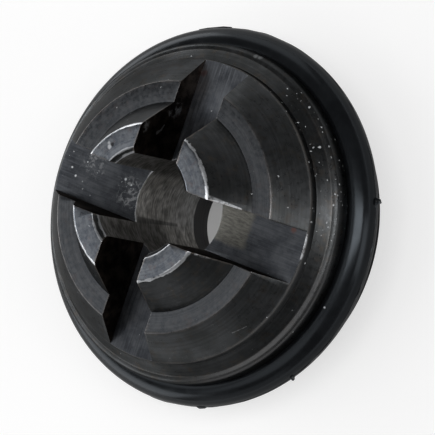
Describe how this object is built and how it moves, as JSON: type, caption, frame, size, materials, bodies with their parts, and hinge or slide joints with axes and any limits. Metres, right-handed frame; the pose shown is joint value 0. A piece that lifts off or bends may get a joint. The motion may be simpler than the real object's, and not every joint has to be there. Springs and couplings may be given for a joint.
{
  "type": "sealing ring",
  "caption": "Blackened steel sealing hub with a through bore, a stepped and cross-slotted front, and a black rubber ring in its outer groove that seals it in a round seat.",
  "frame": {"origin": "centre of the rear face, on the bore's axis", "axes": "+Z along the bore towards the slotted front; +X and +Y along the two slots"},
  "size_m": [0.03, 0.03, 0.0162],
  "materials": {
    "slotted_hub": "turned and blackened, worn brighter on the lands and at the edges",
    "rubber_ring": "smooth black rubber with a satin shine"
  },
  "bodies": {
    "root": {"slotted_hub": "slotted_hub", "rubber_ring": "rubber_ring"}
  },
  "joints": []
}
